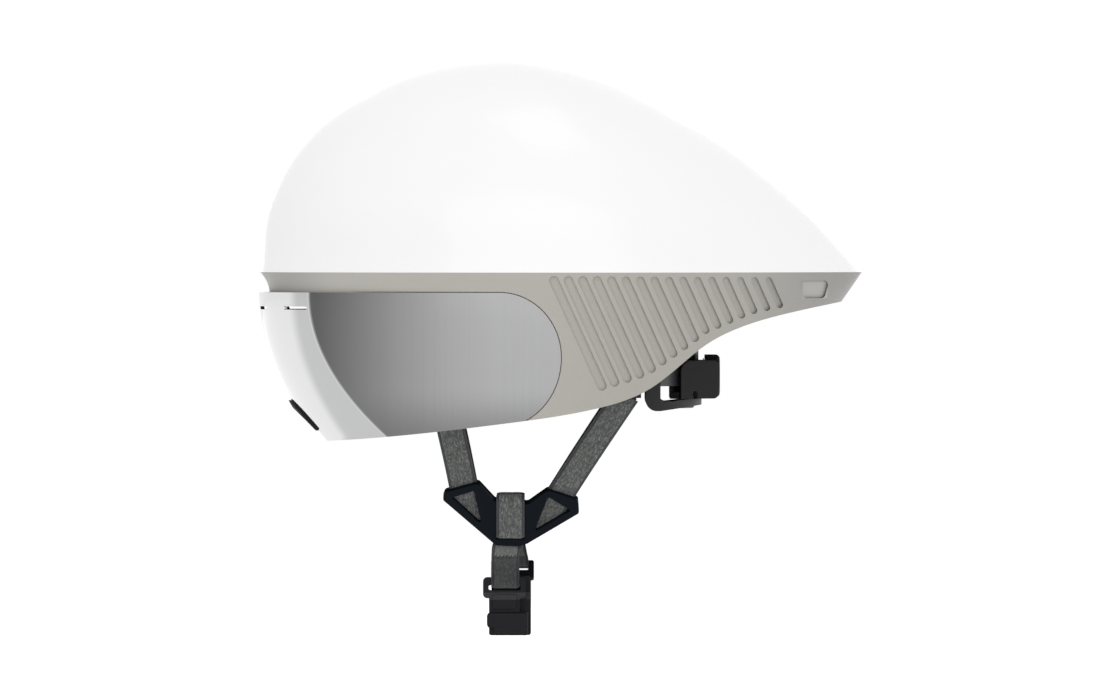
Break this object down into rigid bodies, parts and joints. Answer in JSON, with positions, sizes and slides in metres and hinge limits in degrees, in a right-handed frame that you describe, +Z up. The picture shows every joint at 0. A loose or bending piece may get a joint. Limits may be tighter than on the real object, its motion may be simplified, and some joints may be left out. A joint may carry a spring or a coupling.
{
  "type": "aero time trial helmet",
  "caption": "Closed aero cycling helmet: rounded dome with a drawn-in tail, flush wrap-round mirrored visor, slanted side grooves, magnetic chin buckle and dial-sized nape cradle.",
  "frame": {"origin": "middle of the head cavity, on the straight belt line where the upper and the lower shell meet", "axes": "+X back to the tail, +Y to the wearer's right, +Z up"},
  "size_m": [0.3136, 0.206, 0.3027],
  "materials": {
    "dome_gloss": "gloss",
    "shell_grey": "satin",
    "liner_foam": "matte",
    "floor_black": "satin",
    "visor_mirror": "polished",
    "soft_black": "matte",
    "steel": "satin",
    "magnet_plating": "satin",
    "pad_fabric": "matte",
    "moulded_black": "satin",
    "webbing_grey": "matte",
    "divider_navy": "satin",
    "buckle_black": "satin",
    "belt_grey": "satin"
  },
  "bodies": {
    "helmet": {"upper_shell": "dome_gloss", "lower_shell": "shell_grey", "eps_liner": "liner_foam", "tail_floor": "floor_black", "brow_magnets": "magnet_plating", "visor_seal": "soft_black", "brow_pad": "pad_fabric", "crown_pad": "pad_fabric", "side_pad_left": "pad_fabric", "side_pad_right": "pad_fabric", "rear_pad": "pad_fabric", "front_strap_anchors": "moulded_black", "rear_strap_anchors": "moulded_black", "front_strap_left": "webbing_grey", "front_strap_right": "webbing_grey", "rear_strap_left": "webbing_grey", "rear_strap_right": "webbing_grey", "strap_divider_left": "divider_navy", "strap_divider_right": "divider_navy", "chin_strap_left": "webbing_grey", "chin_strap_right": "webbing_grey", "buckle_socket": "buckle_black", "socket_magnet": "magnet_plating", "height_stem": "moulded_black", "stem_pins": "moulded_black", "temple_guide_left": "moulded_black", "temple_guide_right": "moulded_black"},
    "visor": {"visor_lens": "visor_mirror", "nose_guard": "soft_black", "lens_plates": "steel"},
    "cradle": {"cradle_housing": "moulded_black", "housing_cover": "moulded_black", "housing_screws": "steel", "click_ring": "steel", "nape_band": "moulded_black", "nape_pads": "pad_fabric"},
    "dial": {"dial_knob": "moulded_black", "dial_grip": "soft_black", "dial_pinion": "moulded_black", "dial_screw": "steel"},
    "left_belt": {"belt_left": "belt_grey"},
    "right_belt": {"belt_right": "belt_grey"},
    "tongue": {"buckle_tongue": "buckle_black", "tongue_magnet": "magnet_plating", "tongue_grip": "soft_black", "chin_strap_end": "webbing_grey"}
  },
  "joints": [
    {"name": "visor_pull", "type": "slide", "parent": "helmet", "child": "visor", "axis": [-1, 0, 0], "range_m": [0, 0.17]},
    {"name": "cradle_height", "type": "slide", "parent": "helmet", "child": "cradle", "axis": [0, 0, 1], "range_m": [-0.006, 0.003]},
    {"name": "dial_turn", "type": "hinge", "parent": "cradle", "child": "dial", "pos_m": [0.1, 0, -0.054], "axis": [1, 0, 0], "range_deg": [-180, 180]},
    {"name": "left_belt_draw", "type": "hinge", "parent": "cradle", "child": "left_belt", "pos_m": [0.02, 0, -0.054], "axis": [0, 0, 1], "range_deg": [-9.3, 9.3]},
    {"name": "right_belt_draw", "type": "hinge", "parent": "cradle", "child": "right_belt", "pos_m": [0.02, 0, -0.054], "axis": [0, 0, 1], "range_deg": [-9.3, 9.3]},
    {"name": "tongue_slide", "type": "slide", "parent": "helmet", "child": "tongue", "axis": [-1, 0, 0], "range_m": [0, 0.014]}
  ],
  "couplings": [
    {"joint": "left_belt_draw", "follows": "dial_turn", "ratio": -0.05135},
    {"joint": "right_belt_draw", "follows": "dial_turn", "ratio": 0.05031}
  ]
}
